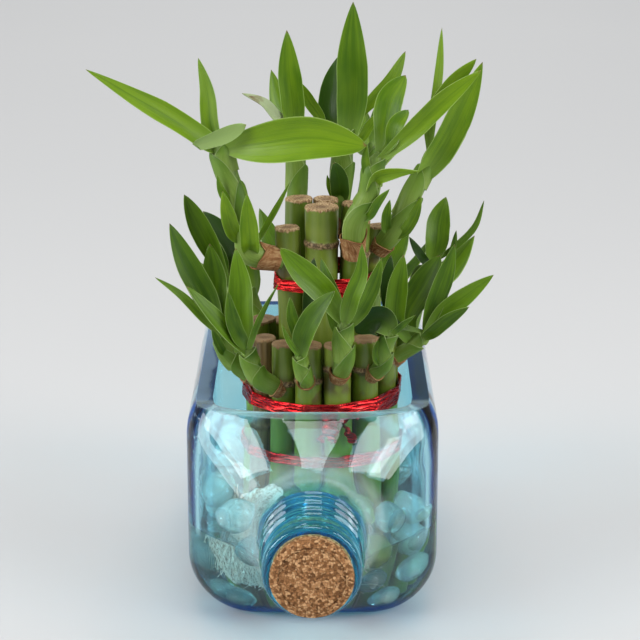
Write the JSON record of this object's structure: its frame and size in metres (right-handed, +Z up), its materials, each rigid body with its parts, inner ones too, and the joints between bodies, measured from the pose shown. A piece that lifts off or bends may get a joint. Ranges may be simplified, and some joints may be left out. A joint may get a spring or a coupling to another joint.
{
  "type": "lucky bamboo",
  "caption": "Two-tier bundle of green bamboo canes with leafy shoots, tied with red foil, standing among pebbles and water in a square glass bottle laid on its side.",
  "frame": {"origin": "middle of the flat underside of the bottle, on the surface that it rests on", "axes": "+Z up; -Y towards the bottle's neck and cork; +X to the right as seen from the neck"},
  "size_m": [0.1498, 0.2185, 0.2291],
  "materials": {
    "glass": "clear pale blue glass, polished, with a smooth cut rim",
    "cork": "granular agglomerated cork, dry and matte",
    "water": "clear still water with a faint blue cast from the glass",
    "pebble_glass": "glossy wet pebbles, pale aqua to teal",
    "root": "cream fibrous roots, wet",
    "bamboo_shoot": "fresh green leaves and shoots with a soft waxy gloss and parallel veins",
    "bamboo_cane": "smooth green cane with tan node rings and dry cut tops",
    "foil": "creased metallic red foil ribbon"
  },
  "bodies": {
    "root": {"bottle": "glass", "cork": "cork", "water": "water", "pebbles": "pebble_glass", "roots": "root", "lower_cane_01": "bamboo_shoot", "lower_cane_02": "bamboo_shoot", "lower_cane_03": "bamboo_shoot", "lower_cane_04": "bamboo_shoot", "lower_cane_05": "bamboo_shoot", "lower_cane_06": "bamboo_shoot", "lower_cane_07": "bamboo_shoot", "lower_cane_08": "bamboo_shoot", "lower_cane_09": "bamboo_cane", "lower_cane_10": "bamboo_shoot", "lower_cane_11": "bamboo_cane", "lower_cane_12": "bamboo_shoot", "lower_cane_13": "bamboo_shoot", "lower_cane_14": "bamboo_cane", "upper_cane_01": "bamboo_cane", "upper_cane_02": "bamboo_shoot", "upper_cane_03": "bamboo_shoot", "upper_cane_04": "bamboo_shoot", "upper_cane_05": "bamboo_shoot", "upper_cane_06": "bamboo_shoot", "upper_cane_07": "bamboo_shoot", "upper_cane_08": "bamboo_cane", "foot_tie": "foil", "lower_tie": "foil", "upper_tie": "foil"}
  },
  "joints": []
}
